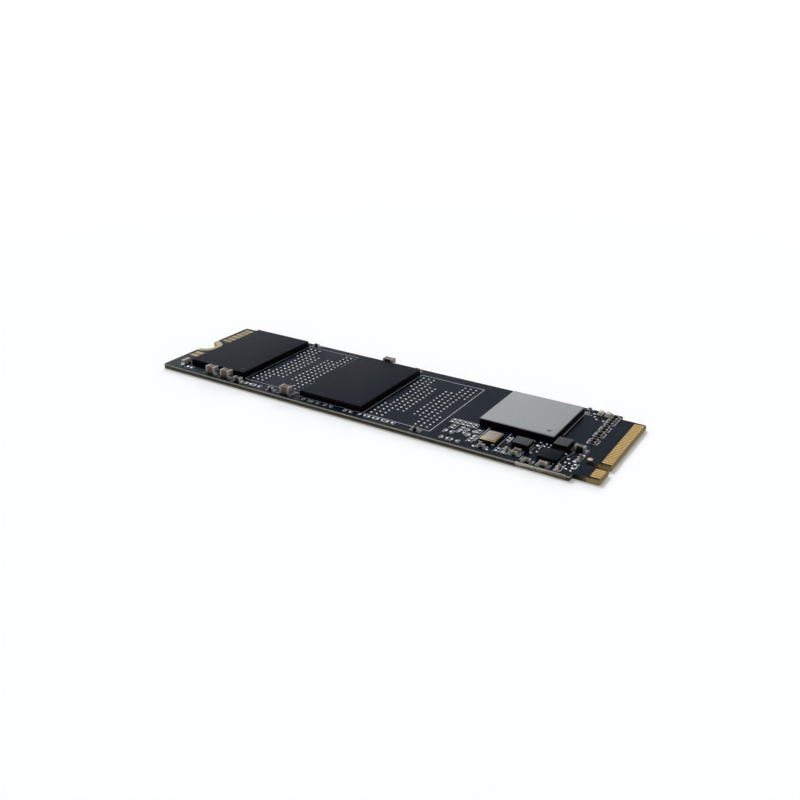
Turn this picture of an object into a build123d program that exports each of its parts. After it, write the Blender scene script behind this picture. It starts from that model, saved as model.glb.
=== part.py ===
from build123d import *
import os

# Solid-state drive card, in millimetres. It lies flat with its parts upwards, the contact edge
# towards +X and the screw recess towards -X. The origin is on the underside, mid-length, mid-width.

# Memory packages, which stand in a row of four places, two of them left empty
package_width = 12.0
package_length = 18.0
package_height = 1.0
site_count = 4
site_gap = 0.3
site_shift = 0.8
near_strip = 2.6
far_strip = 1.4

# Board
board_thickness = 0.8
mask_thickness = 0.03
corner_radius = 0.3
tongue_corner = 0.3
tab_length = 7.4
tab_depth = 0.12
tab_inset = 0.6

# Contact edge
pin_count = 75
pin_pitch = 0.5
finger_width = 0.35
tongue_length = 4.0
tongue_margin = 0.5
bare_depth = 2.0
bevel_run = 0.25
bevel_rise = 0.2
key_pins = range(59, 67)
key_width = 1.2
key_depth = 3.5

# Screw recess with its plated pad, and the row of bare gold pads beside it
screw_radius = 1.75
screw_pad_radius = 2.75
pad_thickness = 0.03
end_pad_length = 1.8
end_pad_width = 0.95
end_pad_gap = 0.25
end_pad_inset = 0.7
end_pad_clear = 0.52
far_pad_count = 6
near_pad_count = 2

# Alignment dot beside the key
dot_radius = 0.4
dot_inset = 0.6
dot_clear = 0.6

# Tinned pads of an empty memory place: the rows that each column fills, counted from the middle
ball_pitch = 1.0
ball_pad_radius = 0.2
ball_pad_height = 0.04
ball_rows = {1: range(0, 6), 2: range(0, 6), 3: range(0, 9), 4: range(0, 9), 5: range(4, 9)}

# Controller
controller_size = 12.0
controller_height = 0.95
lid_thickness = 0.2
lid_inset = 0.05
mark_radius = 0.35
mark_depth = 0.02
mark_inset = 1.35

# Crystal
crystal_width = 2.5
crystal_length = 3.2
crystal_base_height = 0.55
seal_width = 0.3
seal_height = 0.1
seal_inset = 0.05
crystal_lid_inset = 0.15
crystal_lid_height = 0.1
crystal_terminal_length = 0.6
crystal_terminal_reach = 0.15
crystal_terminal_height = 0.25

# Power inductors
inductor_length = 2.6
inductor_width = 2.2
inductor_height = 1.0
inductor_terminal_width = 1.5
inductor_terminal_height = 0.45
inductor_terminal_thickness = 0.06

# Power chip
power_chip_size = 3.0
power_chip_height = 0.75
lead_count = 5
lead_pitch = 0.5
lead_width = 0.25
lead_reach = 0.12
lead_height = 0.2

# Chips with two end caps: large, middle-sized, the one in front of the power chip, small and flat
bulk_length = 2.0
bulk_width = 1.25
bulk_height = 1.25
bulk_cap = 0.45
filter_length = 1.6
filter_width = 0.8
filter_height = 0.8
filter_cap = 0.35
front_length = 1.25
front_width = 0.65
front_height = 0.6
front_cap = 0.28
small_length = 1.0
small_width = 0.5
small_height = 0.5
small_cap = 0.25
flat_length = 1.0
flat_width = 0.5
flat_height = 0.32
flat_cap = 0.22
cap_wall = 0.03
toe_reach = 0.2
toe_rise_share = 0.45

# Indicator lamps
lamp_length = 1.6
lamp_width = 0.8
lamp_gap = 0.35
lamp_base_height = 0.25
lamp_terminal = 0.3
lens_height = 0.35
lens_margin = 0.04
lens_chamfer = 0.12

# Bare lands and test points
land_length = 0.45
land_width = 0.5
land_gap = 0.35
wide_land = 0.7
land_height = 0.04

# Gaps between the parts along the card, from the screw end to the contact end
mount_zone = 4.35
lands_gap = 1.1
lands_length = 5.65
crystal_gap = 1.1
inductor_gap = 2.17
power_chip_gap = 1.93
corner_zone = 2.7

# Gaps between the parts across the card
parts_strip = 7.8
crystal_row = 4.17
inductor_row = 4.53
power_chip_row = 3.45
bulk_clear = 0.375
spare_clear = 0.3
far_row = 1.1
lamp_row = 1.0
lamp_inset = 3.25
inductor_clear = 0.5
filter_clear = 0.3
front_margin = 0.55
coupling_inset = 0.85
coupling_pitch = 0.95
coupling_pairs = (10.6, 8.0, 5.75, 3.35, 1.45)

# Sides of the many-sided outlines that stand for small round ones
pad_sides = 6
point_sides = 6
mark_sides = 12

# Limits of the card
board_width = near_strip + package_length + far_strip
sites_length = site_count * package_width + (site_count - 1) * site_gap
lands_reach = lands_gap + lands_length
parts_length = crystal_gap + crystal_width + inductor_gap + inductor_length + power_chip_gap + power_chip_size
board_length = mount_zone + sites_length + lands_reach + parts_length + corner_zone + tongue_length
screw_end = -board_length / 2
contact_end = board_length / 2
near_edge = -board_width / 2
far_edge = board_width / 2
shoulder = contact_end - tongue_length
mask_end = contact_end - bare_depth
top = board_thickness

# Pin rows: odd pins on the upper face, even pins on the lower one
pin_span = (pin_count - 1) * pin_pitch / 2
tongue_width = pin_span + finger_width + 2 * tongue_margin
key_y = pin_span / 2 - ((key_pins[0] + key_pins[-1]) / 2 - 1) * pin_pitch / 2

# Places of the memory row
site_step = package_width + site_gap
site_x = [screw_end + mount_zone + package_width / 2 + k * site_step for k in range(site_count)]
near_row_y = near_edge + near_strip + package_length / 2
site_y = [near_row_y, near_row_y, near_row_y - site_shift, near_row_y - site_shift]
sites_end = screw_end + mount_zone + sites_length

# Places of the larger parts, in a chain along the card
lands_x = sites_end + lands_gap
crystal_x = lands_x + lands_length + crystal_gap + crystal_width / 2
crystal_y = near_edge + crystal_row
crystal_side = crystal_x + crystal_width / 2
crystal_near = crystal_y - crystal_length / 2 - crystal_terminal_reach
inductor_x = crystal_side + inductor_gap + inductor_length / 2
inductor_y = near_edge + inductor_row
inductor_side = inductor_x + inductor_length / 2 + inductor_terminal_thickness
inductor_near = inductor_y - inductor_width / 2
power_chip_x = inductor_x + inductor_length / 2 + power_chip_gap + power_chip_size / 2
power_chip_y = near_edge + power_chip_row
power_chip_near = power_chip_y - power_chip_size / 2 - lead_reach
filter_span = filter_length + 2 * toe_reach
controller_side = shoulder - front_margin - filter_span - filter_clear - inductor_width - inductor_clear
controller_near = near_edge + parts_strip
controller_x = controller_side - controller_size / 2
controller_y = controller_near + controller_size / 2
inductor_places = (
    (inductor_x, inductor_y, 0),
    (controller_side + inductor_clear + inductor_width / 2, controller_near - 0.4, 90),
)
lamp_y = far_edge - lamp_row
lamp_step = lamp_width + lamp_gap
lamp_places = [(shoulder - lamp_inset + k * lamp_step, lamp_y) for k in range(2)]

# Places of the chips: x, y, turn in degrees
bulk_row = near_edge + near_strip - bulk_clear - bulk_width / 2
bulk_places = (
    (site_x[0] - 0.2, bulk_row, 0),
    (site_x[0] + 3.05, bulk_row, 0),
    (site_x[1] + 3.75, bulk_row, 0),
    (site_x[2] - 1.0, far_edge - far_row, 0),
)
filter_places = (
    (screw_end + 3.15, near_edge + 2.4, 90),
    (site_x[0] + site_step / 2, near_edge + 1.0, 0),
    (power_chip_x - 0.05, power_chip_near - 0.5 - front_width / 2, 0),
    (shoulder - front_margin - filter_span / 2, controller_near + 0.1, 0),
)
small_places = (
    (site_x[1] - 5.0, far_edge - 0.6, 0),
    (site_x[1] + 0.8, near_edge + 1.2, 0),
    (site_x[2] + 4.7, far_edge - 1.0, 0),
    (site_x[3] + 4.05, near_edge + 1.05, 0),
    (crystal_x - 0.25, crystal_near - 0.75 - small_width / 2, 0),
    (inductor_x - 1.57, inductor_near - 0.63 - toe_reach - small_length / 2, 90),
    (inductor_x, inductor_near - 0.33 - small_width / 2, 0),
    (inductor_x - 0.05, inductor_near - 0.83 - 1.5 * small_width, 0),
    (power_chip_x - power_chip_size / 2 - 0.85, near_edge + 0.9, 0),
    (power_chip_x + power_chip_size / 2 + 0.5, near_edge + 1.3, 90),
    (shoulder - 0.7, near_edge + 5.5, 90),
    (controller_side + 0.4, far_edge - 0.95, 90),
)
coupling_places = [
    (shoulder - coupling_inset, far_edge - middle + side * coupling_pitch / 2, 0)
    for middle in coupling_pairs
    for side in (-1, 1)
]

# Bare chip places, each a pair of lands: x, y, turn in degrees, land width
spare_row = near_edge + near_strip - site_shift - spare_clear - land_width / 2
spare_shifts = {1: (2.15, 3.95), 2: (2.05, 3.75, 6.35, 10.15), 3: (0.55, 2.15, 3.75, 5.55)}
spare_places = [
    (site_x[site] - site_step / 2 + shift, spare_row, 0, land_width)
    for site, shifts in spare_shifts.items()
    for shift in shifts
]
spare_places += [(lands_x + 0.25 + 0.9 * k, near_edge + 6.9, 90, land_width) for k in range(5)]
spare_places += [
    (lands_x + 1.15, near_edge + 5.1, 90, land_width),
    (lands_x + 2.7, near_edge + 5.1, 90, land_width),
    (lands_x + 4.1, near_edge + 5.2, 0, land_width),
    (lands_x + 5.15, near_edge + 5.6, 90, land_width),
    (lands_x + 3.05, near_edge + 4.1, 0, land_width),
    (lands_x + 1.3, near_edge + 3.35, 0, wide_land),
    (lands_x + 4.85, near_edge + 3.85, 0, wide_land),
    (lands_x + 5.35, near_edge + 2.6, 90, land_width),
    (lands_x + 1.8, near_edge + 1.2, 0, land_width),
    (lands_x + 3.4, near_edge + 1.2, 0, land_width),
    (crystal_side + 0.75, near_edge + 5.7, 90, land_width),
    (crystal_side + 0.75, near_edge + 1.9, 90, land_width),
    (screw_end + 5.0, near_edge + 1.4, 0, land_width),
]

# Test points: x, y, radius
test_points = (
    (crystal_x - 1.4, near_edge + 1.05, 0.25),
    (crystal_x + 0.75, near_edge + 1.05, 0.25),
    (inductor_side + 0.35, controller_near - 1.75, 0.33),
    (inductor_side + 0.35, inductor_y - 1.03, 0.26),
    (inductor_side + 0.35, controller_near - 0.65, 0.18),
    (inductor_side + 0.95, inductor_y - 0.28, 0.2),
    (controller_side - 0.75, controller_near - 0.65, 0.18),
    (controller_side - 0.1, controller_near - 0.65, 0.18),
    (controller_side - 0.75, controller_near - 1.45, 0.18),
    (controller_side - 0.1, controller_near - 1.45, 0.18),
    (power_chip_x + 1.3, power_chip_y + 2.35, 0.25),
    (shoulder - 2.0, near_edge + 4.55, 0.28),
    (shoulder - 1.0, near_edge + 4.3, 0.3),
    (shoulder - 2.0, near_edge + 3.4, 0.2),
    (shoulder - 1.4, near_edge + 3.4, 0.2),
    (shoulder - 0.55, near_edge + 3.5, 0.25),
    (shoulder - 0.5, near_edge + 2.3, 0.28),
    (shoulder - 0.5, near_edge + 1.5, 0.2),
    (shoulder - 1.2, near_edge + 1.7, 0.2),
    (shoulder - 0.5, near_edge + 6.7, 0.2),
    (lamp_places[0][0] - 0.9, far_edge - 1.4, 0.2),
    (lamp_places[0][0] - 0.45, far_edge - 2.4, 0.2),
    (lamp_places[0][0] + 0.05, far_edge - 3.15, 0.2),
    (lamp_places[1][0], far_edge - 3.2, 0.2),
)


def block(length, width, height, x, y, z):
    """A box standing on height z, centred over x, y."""
    return Pos(x, y, z + height / 2) * Box(length, width, height)


def disc(radius, sides, height, x, y, z):
    """A flat pad with a regular many-sided outline."""
    return Pos(x, y, z) * extrude(RegularPolygon(radius, sides), height)


def turned(shapes, x, y, turn):
    """Shapes drawn about the origin on the board's face, set at their place."""
    return [Pos(x, y, top) * Rot(0, 0, turn) * shape for shape in shapes]


def write(node, shapes):
    """One file for a piece, or for a group of like pieces."""
    solids = [solid for shape in shapes for solid in shape.solids()]
    export_step(solids[0] if len(solids) == 1 else Compound(children=solids), f"parts/{node}.step")


def board():
    """The laminate with its mask: shoulders, keyed and bevelled tongue, screw recess, tab break."""
    body_length = board_length - tongue_length
    plan = Pos(screw_end + body_length / 2, 0) * RectangleRounded(body_length, board_width, corner_radius)
    tongue_root = shoulder - 2 * tongue_corner
    tongue_run = contact_end - tongue_root
    plan += Pos(tongue_root + tongue_run / 2, 0) * RectangleRounded(tongue_run, tongue_width, tongue_corner)
    plan -= Pos(screw_end, 0) * Circle(screw_radius)
    slot_run = key_depth - key_width / 2
    plan -= Pos(contact_end - slot_run / 2, key_y) * Rectangle(slot_run, key_width)
    plan -= Pos(contact_end - slot_run, key_y) * Circle(key_width / 2)
    tab_x = shoulder - tab_inset - tab_length / 2
    plan -= Pos(tab_x, near_edge) * Rectangle(tab_length, 2 * tab_depth)
    solid = extrude(plan, board_thickness)

    bevel = Plane.XZ * Polygon((0, 0), (0, bevel_rise), (-bevel_run, 0), align=None)
    bevel = extrude(bevel, tongue_width, both=True)
    core = board_thickness - 2 * mask_thickness
    solid -= Pos(contact_end, 0, mask_thickness) * bevel
    solid -= Pos(contact_end, 0, mask_thickness + core) * mirror(bevel, about=Plane.XY)
    for level in (0, board_thickness - mask_thickness):
        solid -= block(2 * bare_depth, 2 * tongue_width, mask_thickness, contact_end, 0, level)
    for level in (0, board_thickness - pad_thickness):
        solid -= Pos(screw_end, 0, level + pad_thickness / 2) * Cylinder(screw_pad_radius, pad_thickness)
    return solid


def screw_pad():
    """Half a ring of plating round the screw recess, on each face."""
    section = Plane.XZ * Polygon(
        (screw_radius, 0),
        (screw_pad_radius, 0),
        (screw_pad_radius, pad_thickness),
        (screw_radius, pad_thickness),
        align=None,
    )
    ring = Rot(0, 0, -90) * revolve(section, Axis.Z, 180)
    return [Pos(screw_end, 0, level) * ring for level in (0, board_thickness - pad_thickness)]


def fingers(first_pin, level):
    """The contacts of one face, with none at the key."""
    length = bare_depth - bevel_run
    pins = [pin for pin in range(first_pin, pin_count + 1, 2) if pin not in key_pins]
    return [
        block(length, finger_width, mask_thickness, mask_end + length / 2,
              pin_span / 2 - (pin - 1) * pin_pitch / 2, level)
        for pin in pins
    ]


def end_pads():
    """Gold pads along the screw end, on both sides of the recess."""
    first = screw_pad_radius + end_pad_clear + end_pad_width / 2
    x = screw_end + end_pad_inset + end_pad_length / 2
    step = end_pad_width + end_pad_gap
    places = [first + k * step for k in range(far_pad_count)]
    places += [-first - k * step for k in range(near_pad_count)]
    return [block(end_pad_length, end_pad_width, pad_thickness, x, y, top) for y in places]


def corner_mark(x, y, length, width, level):
    """Tool for the round first-pin mark, sunk into the near corner towards the contacts."""
    mark_x = x + length / 2 - mark_inset
    mark_y = y - width / 2 + mark_inset
    return disc(mark_radius, mark_sides, mark_depth, mark_x, mark_y, level - mark_depth)


def memory_package(site):
    """A moulded memory package at one of the places in the row."""
    x = site_x[site]
    y = site_y[site]
    body = block(package_width, package_length, package_height, x, y, top)
    return body - corner_mark(x, y, package_width, package_length, top + package_height)


def ball_pads(site):
    """The pads of an empty place: two halves of five columns, stepped in like an hourglass."""
    pads = []
    for column, rows in ball_rows.items():
        heights = [side * row for row in rows for side in (1, -1) if row or side > 0]
        for x_step in (-column, column):
            for y_step in heights:
                x = site_x[site] + x_step * ball_pitch
                y = site_y[site] + y_step * ball_pitch
                pads.append(disc(ball_pad_radius, pad_sides, ball_pad_height, x, y, top))
    return pads


def controller():
    """The controller's moulded package and the metal lid that covers its top."""
    package = block(controller_size, controller_size, controller_height, controller_x, controller_y, top)
    lid_size = controller_size - 2 * lid_inset
    lid_level = top + controller_height
    lid = block(lid_size, lid_size, lid_thickness, controller_x, controller_y, lid_level)
    lid -= corner_mark(controller_x, controller_y, lid_size, lid_size, lid_level + lid_thickness)
    return package, lid


def crystal():
    """Ceramic base, seal ring, lid, and the solder at its four corner terminals."""
    base = block(crystal_width, crystal_length, crystal_base_height, 0, 0, 0)
    ring_width = crystal_width - 2 * seal_inset
    ring_length = crystal_length - 2 * seal_inset
    ring = block(ring_width, ring_length, seal_height, 0, 0, crystal_base_height)
    ring -= block(ring_width - 2 * seal_width, ring_length - 2 * seal_width, seal_height, 0, 0,
                  crystal_base_height)
    lid_width = ring_width - 2 * crystal_lid_inset
    lid_length = ring_length - 2 * crystal_lid_inset
    lid = block(lid_width, lid_length, crystal_lid_height, 0, 0, crystal_base_height + seal_height)
    terminals = [
        block(crystal_terminal_length, crystal_terminal_reach, crystal_terminal_height,
              side * (crystal_width - crystal_terminal_length) / 2,
              end * (crystal_length + crystal_terminal_reach) / 2, 0)
        for side in (-1, 1)
        for end in (-1, 1)
    ]
    return [turned(shapes, crystal_x, crystal_y, 0) for shapes in ([base], [ring], [lid], terminals)]


def inductor(x, y, turn):
    """A moulded core with a terminal plate at each end."""
    core = block(inductor_length, inductor_width, inductor_height, 0, 0, 0)
    plates = [
        block(inductor_terminal_thickness, inductor_terminal_width, inductor_terminal_height,
              end * (inductor_length + inductor_terminal_thickness) / 2, 0, 0)
        for end in (-1, 1)
    ]
    return turned([core], x, y, turn), turned(plates, x, y, turn)


def power_chip():
    """A flat leadless package with solder showing at the contacts along its four sides."""
    x = power_chip_x
    y = power_chip_y
    body = block(power_chip_size, power_chip_size, power_chip_height, x, y, top)
    first = -(lead_count - 1) * lead_pitch / 2
    lead_x = (power_chip_size + lead_reach) / 2
    side = [
        block(lead_reach, lead_width, lead_height, lead_x, first + k * lead_pitch, 0)
        for k in range(lead_count)
    ]
    leads = [lead for turn in (0, 90, 180, 270) for lead in turned(side, x, y, turn)]
    return body, leads


def chip(size, x, y, turn):
    """A two-ended chip: ceramic body, the two metal caps over its ends, a solder toe at each end."""
    length, width, height, cap = size
    body = block(length - 2 * cap_wall, width - 2 * cap_wall, height - 2 * cap_wall, 0, 0, cap_wall)
    caps = [block(cap, width, height, end * (length - cap) / 2, 0, 0) - body for end in (-1, 1)]
    side = Plane.XZ * Polygon((0, 0), (toe_reach, 0), (0, toe_rise_share * height), align=None)
    toe = Pos(length / 2, 0, 0) * extrude(side, width / 2, both=True)
    toes = [toe, Rot(0, 0, 180) * toe]
    return [turned(shapes, x, y, turn) for shapes in ([body], caps, toes)]


def lamp(x, y):
    """An indicator lamp: base, lens on it, terminal and solder toe at each end."""
    base_length = lamp_length - 2 * lamp_terminal
    base = block(base_length, lamp_width, lamp_base_height, 0, 0, 0)
    lens = block(base_length, lamp_width - 2 * lens_margin, lens_height, 0, 0, lamp_base_height)
    lens = chamfer(lens.faces().sort_by(Axis.Z)[-1].edges(), lens_chamfer)
    ends = [
        block(lamp_terminal, lamp_width, lamp_base_height, end * (lamp_length - lamp_terminal) / 2, 0, 0)
        for end in (-1, 1)
    ]
    return [turned(shapes, x, y, 90) for shapes in ([base], [lens], ends)]


def lands(x, y, turn, width):
    """The two bare lands of a chip place that was left empty."""
    step = (land_length + land_gap) / 2
    return turned([block(land_length, width, land_height, end * step, 0, 0) for end in (-1, 1)], x, y, turn)


def chip_group(node, size, places, toes):
    """Like chips in two nodes, one of bodies and one of end caps; their solder is added to toes."""
    bodies = []
    caps = []
    for x, y, turn in places:
        body, ends, solder = chip(size, x, y, turn)
        bodies += body
        caps += ends
        toes += solder
    write(f"{node}_ceramic", bodies)
    write(f"{node}_end_caps", caps)


os.makedirs("parts", exist_ok=True)

write("board", [board()])
write("screw_pad", screw_pad())
write("contact_fingers_top", fingers(1, board_thickness - mask_thickness))
write("contact_fingers_bottom", fingers(2, 0))
write("end_pads", end_pads())
dot_y = key_y + key_width / 2 + dot_clear
write("alignment_dot", [disc(dot_radius, mark_sides, pad_thickness, shoulder + dot_inset, dot_y, top)])

for number, site in ((1, 0), (2, 2)):
    write(f"memory_package_{number}", [memory_package(site)])
for number, site in ((1, 1), (2, 3)):
    write(f"empty_place_{number}_pads", ball_pads(site))

controller_package, controller_lid = controller()
write("controller_package", [controller_package])
write("controller_lid", [controller_lid])

for node, shapes in zip(("base", "seal_ring", "lid", "terminals"), crystal()):
    write(f"crystal_{node}", shapes)

for number, place in enumerate(inductor_places, 1):
    core, plates = inductor(*place)
    write(f"inductor_{number}_core", core)
    write(f"inductor_{number}_terminals", plates)

power_body, power_leads = power_chip()
write("power_chip_package", [power_body])
write("power_chip_leads", power_leads)

bulk_chip = (bulk_length, bulk_width, bulk_height, bulk_cap)
filter_chip = (filter_length, filter_width, filter_height, filter_cap)
front_chip = (front_length, front_width, front_height, front_cap)
small_chip = (small_length, small_width, small_height, small_cap)
flat_chip = (flat_length, flat_width, flat_height, flat_cap)
solder_toes = []
for number, place in enumerate(bulk_places, 1):
    chip_group(f"bulk_capacitor_{number}", bulk_chip, [place], solder_toes)
filter_chips = (filter_chip, filter_chip, front_chip, filter_chip)
for number, (size, place) in enumerate(zip(filter_chips, filter_places), 1):
    chip_group(f"filter_capacitor_{number}", size, [place], solder_toes)
chip_group("small_capacitors", small_chip, small_places, solder_toes)
chip_group("coupling_capacitors", flat_chip, coupling_places, solder_toes)
write("solder_toes", solder_toes)

for number, (x, y) in enumerate(lamp_places, 1):
    for node, shapes in zip(("base", "lens", "terminals"), lamp(x, y)):
        write(f"lamp_{number}_{node}", shapes)

write("spare_lands", [land for place in spare_places for land in lands(*place)])
write("test_points", [disc(radius, point_sides, land_height, x, y, top) for x, y, radius in test_points])
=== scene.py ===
import math

import bmesh
import bpy
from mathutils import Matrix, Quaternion, Vector, noise


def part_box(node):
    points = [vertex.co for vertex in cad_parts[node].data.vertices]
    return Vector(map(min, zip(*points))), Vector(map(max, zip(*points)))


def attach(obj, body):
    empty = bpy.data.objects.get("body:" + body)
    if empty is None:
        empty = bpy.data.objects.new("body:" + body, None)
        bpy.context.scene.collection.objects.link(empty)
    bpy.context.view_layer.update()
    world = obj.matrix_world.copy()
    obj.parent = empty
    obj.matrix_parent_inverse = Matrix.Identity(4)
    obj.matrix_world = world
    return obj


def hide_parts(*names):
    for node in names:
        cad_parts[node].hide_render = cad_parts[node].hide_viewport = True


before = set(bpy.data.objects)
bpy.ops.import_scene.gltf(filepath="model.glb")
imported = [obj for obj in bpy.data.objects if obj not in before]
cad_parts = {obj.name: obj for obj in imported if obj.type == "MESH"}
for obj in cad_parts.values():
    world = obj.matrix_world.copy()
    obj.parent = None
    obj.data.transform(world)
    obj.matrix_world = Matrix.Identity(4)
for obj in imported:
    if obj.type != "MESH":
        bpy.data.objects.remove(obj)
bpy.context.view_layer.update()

MM = 0.001

# Camera, fitted to the photograph
image_size = 800
focal_pixels = 855.73
sensor_width = 36.0
view_azimuth = math.radians(31.954)
view_elevation = math.radians(24.247)
view_roll = math.radians(0.107)
view_distance = 139.05 * MM
view_aim = Vector((2.658, -0.469, 0.0)) * MM
view_near = 0.001
view_far = 20.0

# Lamps: where each shines from, how wide it is and how strong
sun_from = Vector((-0.62, 0.38, 0.72))
sun_spread = math.radians(24)
sun_strength = 1.6
back_from = Vector((-0.38, 0.82, 0.37))
back_spread = math.radians(30)
back_strength = 1.5

# Sky: its colour by the height above the horizon, which is 1 straight overhead
sky_stops = (
    (0.05, (0.19, 0.205, 0.235, 1.0)),
    (0.45, (0.22, 0.235, 0.265, 1.0)),
    (0.85, (0.49, 0.49, 0.49, 1.0)),
)

# Floor: a flat disc that bends up into a rim, lifted towards white with the distance from the card
floor_reach = 3.0
floor_bend = 0.8
floor_flat = floor_reach - floor_bend
floor_rim = 0.66
floor_drop = 0.02 * MM
floor_sides = 96
floor_shares = (0.02, 0.1, 0.3, 0.6)
bend_steps = 8
floor_grain = 3.0
floor_dark = (0.90, 0.90, 0.90, 1.0)
floor_pale = (0.92, 0.92, 0.92, 1.0)
floor_lift = 0.145
backdrop_lift = 0.75
lift_start = 0.1

# Grain: its detail and roughness, the two values that most of it lies between, and the broad grain that
# goes with a fine one, by the multiple of its size, its detail and its share
grain_detail = 3.0
grain_roughness = 0.55
grain_low = 0.3
grain_high = 0.7
broad_times = 14
broad_detail = 2.0
broad_share = 0.5

# Spots: how far they stray from even rows, and where their rim ends as a multiple of their radius
spot_looseness = 0.6
spot_rim = 1.3

# Edges: the grid that welds corners, the angles that count as flat, sharp and creased, and the shortest
# edge that is rounded
weld_grid = 0.0005 * MM
flat_angle = math.radians(1)
sharp_angle = math.radians(30)
crease_angle = math.radians(38)
shortest_edge = 0.3 * MM

# How high a face's normal points where the face counts as a top, as flat, and as level
top_slope = 0.8
flat_slope = 0.95
level_slope = 0.99

# Rounded edges: radius on thin plates and on the crystal's seal, and steps round each kind of edge
plate_radius = 0.012 * MM
plate_steps = 1
seal_radius = 0.04 * MM
seal_steps = 2
package_steps = 3
block_steps = 3
lens_steps = 5

# How far below a package's top its sunk mark lies
mark_shallow = 0.01 * MM
mark_deep = 0.04 * MM

# Drops of solder: sides, height as a share of the CAD pad's, squareness of the plan, and the profile from
# foot to crown as shares of the pad's width and of the drop's height
drop_sides = 16
field_rise = 1.5
land_rise = 1.6
round_plan = 2
land_plan = 4
drop_profile = ((0.92, 0.0), (0.9, 0.3), (0.82, 0.6), (0.64, 0.85), (0.36, 1.0))
land_profile = ((1.0, 0.0), (1.0, 0.3), (0.92, 0.42), (0.8, 0.46), (0.76, 0.76), (0.58, 0.93), (0.28, 1.0))

# The share of a bare land's height where its crown with a painted highlight starts, above a painted dark
# reflection, and the length of the lands at the end of the row before the second memory package that keep
# their highlight undimmed by painted shade
land_crown = 0.45
bright_length = 2.6 * MM

# Fillets of solder: steps down the hollow, share of the height left at the toe, share of the width at
# the chip and at the toe, how far across the full height goes, and the height left at the sides
fillet_steps = 6
fillet_lip = 0.06
fillet_width = 0.96
fillet_toe_width = 0.84
fillet_crown = 0.8
fillet_side_height = 0.8

# How far the solder reaches past the end of a chip
toe_reach = 0.5 * MM

# The alignment dot: sides, and its profile as shares of radius and height
dot_sides = 40
dot_profile = ((1.0, 0.0), (1.0, 0.6), (0.97, 1.0))

# Printed lines: widths, height, and the least cosine at a mitred corner, which keeps its point short
silk_width = 0.11 * MM
bracket_width = 0.075 * MM
thin_width = 0.7 * bracket_width
silk_height = 0.012 * MM
mitre_least = 0.3

# Where lines are printed: clear of parts and of the board's edges, clear of the solder at a chip's ends,
# round pairs of coupling chips, and how far a bracket reaches along a chip or a pair of lands
silk_clear = 0.17 * MM
edge_clear = 0.14 * MM
end_clear = 0.2 * MM
pair_clear = Vector((0.35, 0.08, 0.0)) * MM
chip_reach = 0.55 * MM
land_reach = 0.45 * MM

# The printed corner beside the controller: gap to the package, where it starts along it, and its foot
corner_gap = 0.15 * MM
corner_from = 3.2 * MM
corner_foot = 1.2 * MM

# How far the mask laps over the inner ends of the fingers, and further into the gaps between them
mask_lap = 0.25 * MM
gap_lap = 0.36 * MM

# How far before the bare tongue the painted shade on its edge starts to turn pale
side_fade = 1.6 * MM

# Board: how near to the near edge a corner belongs to it, how far past the shoulder the tongue's edge
# starts, how deep the laminate under the screw pad lies at least, and the recess's share of that pad
edge_band = 0.45 * MM
shoulder_clear = 0.05 * MM
sunk_least = 0.01 * MM
recess_share = 0.75

# Capacitors of each larger kind, and how close to the shoulder the small ones are dark
capacitor_count = 4
shoulder_zone = 1.2 * MM

# The snapped tab: least and most distance of its gap's floor from the near edge, and from the shoulder
tab_shallow = 0.05 * MM
tab_deep = 0.3 * MM
tab_clear = 0.55 * MM

# The stub in that gap: columns and rows of its face, columns at each end where it comes out full, share
# of the board's thickness left free above and below, and how far it goes into the board
stub_columns = 150
stub_rows = 10
end_columns = 10
stub_inset = 0.03
stub_root = 0.05 * MM

# How far the stub comes out, as shares of the gap's depth: mean, limits, and the part of coarse and fine
# noise, each with its waves along and up in a millimetre and a layer of its own
stub_mean = 0.55
stub_least = 0.03
stub_most = 0.97
coarse_share = 0.5
coarse_waves = (1.3, 0.9)
coarse_layer = 3.1
fine_share = 0.4
fine_waves = (6.0, 3.0)
fine_layer = 7.7

# Places that the frame gives
board_low, board_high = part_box("board")
top = board_high.z
screw_end = board_low.x
contact_end = board_high.x
near_edge = board_low.y
far_edge = board_high.y
mask_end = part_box("contact_fingers_top")[0].x
bare_from = mask_end + mask_lap + gap_lap
strip_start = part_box("memory_package_2")[0].x
strip_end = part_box("memory_package_2")[1].x
pad_low, pad_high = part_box("screw_pad")
screw_middle = Vector((screw_end, (pad_low.y + pad_high.y) / 2, 0.0))
screw_pad_radius = (pad_high.y - pad_low.y) / 2


def welded(node):
    """A CAD node's triangles with shared corners, as a new mesh to work on."""
    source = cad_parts[node].data
    mesh = bmesh.new()
    corners = {}
    for polygon in source.polygons:
        loop = []
        for index in polygon.vertices:
            place = source.vertices[index].co
            key = tuple(round(value / weld_grid) for value in place)
            if key not in corners:
                corners[key] = mesh.verts.new(place)
            loop.append(corners[key])
        if len(set(loop)) == len(loop):
            mesh.faces.new(loop)
    bmesh.ops.dissolve_limit(mesh, angle_limit=flat_angle, verts=mesh.verts, edges=mesh.edges)
    return mesh


def islands(node):
    """The separate solids of a CAD node, each as a list of its corner points."""
    mesh = welded(node)
    left = set(mesh.verts)
    groups = []
    for start in mesh.verts:
        if start not in left:
            continue
        left.discard(start)
        group = [start]
        for vertex in group:
            for edge in vertex.link_edges:
                other = edge.other_vert(vertex)
                if other in left:
                    left.discard(other)
                    group.append(other)
        groups.append([vertex.co.copy() for vertex in group])
    mesh.free()
    return groups


def box_of(points):
    """Lowest and highest corner of a list of points."""
    low = Vector([min(point[axis] for point in points) for axis in range(3)])
    high = Vector([max(point[axis] for point in points) for axis in range(3)])
    return low, high


def boxes(node):
    """The boxes of a node's separate solids."""
    return [box_of(points) for points in islands(node)]


def shoulder_place():
    """Where the shoulders end and the tongue starts, by the corners along the near edge."""
    mesh = welded("board")
    place = max(vertex.co.x for vertex in mesh.verts if vertex.co.y < near_edge + edge_band)
    mesh.free()
    return place


shoulder = shoulder_place()


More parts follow.
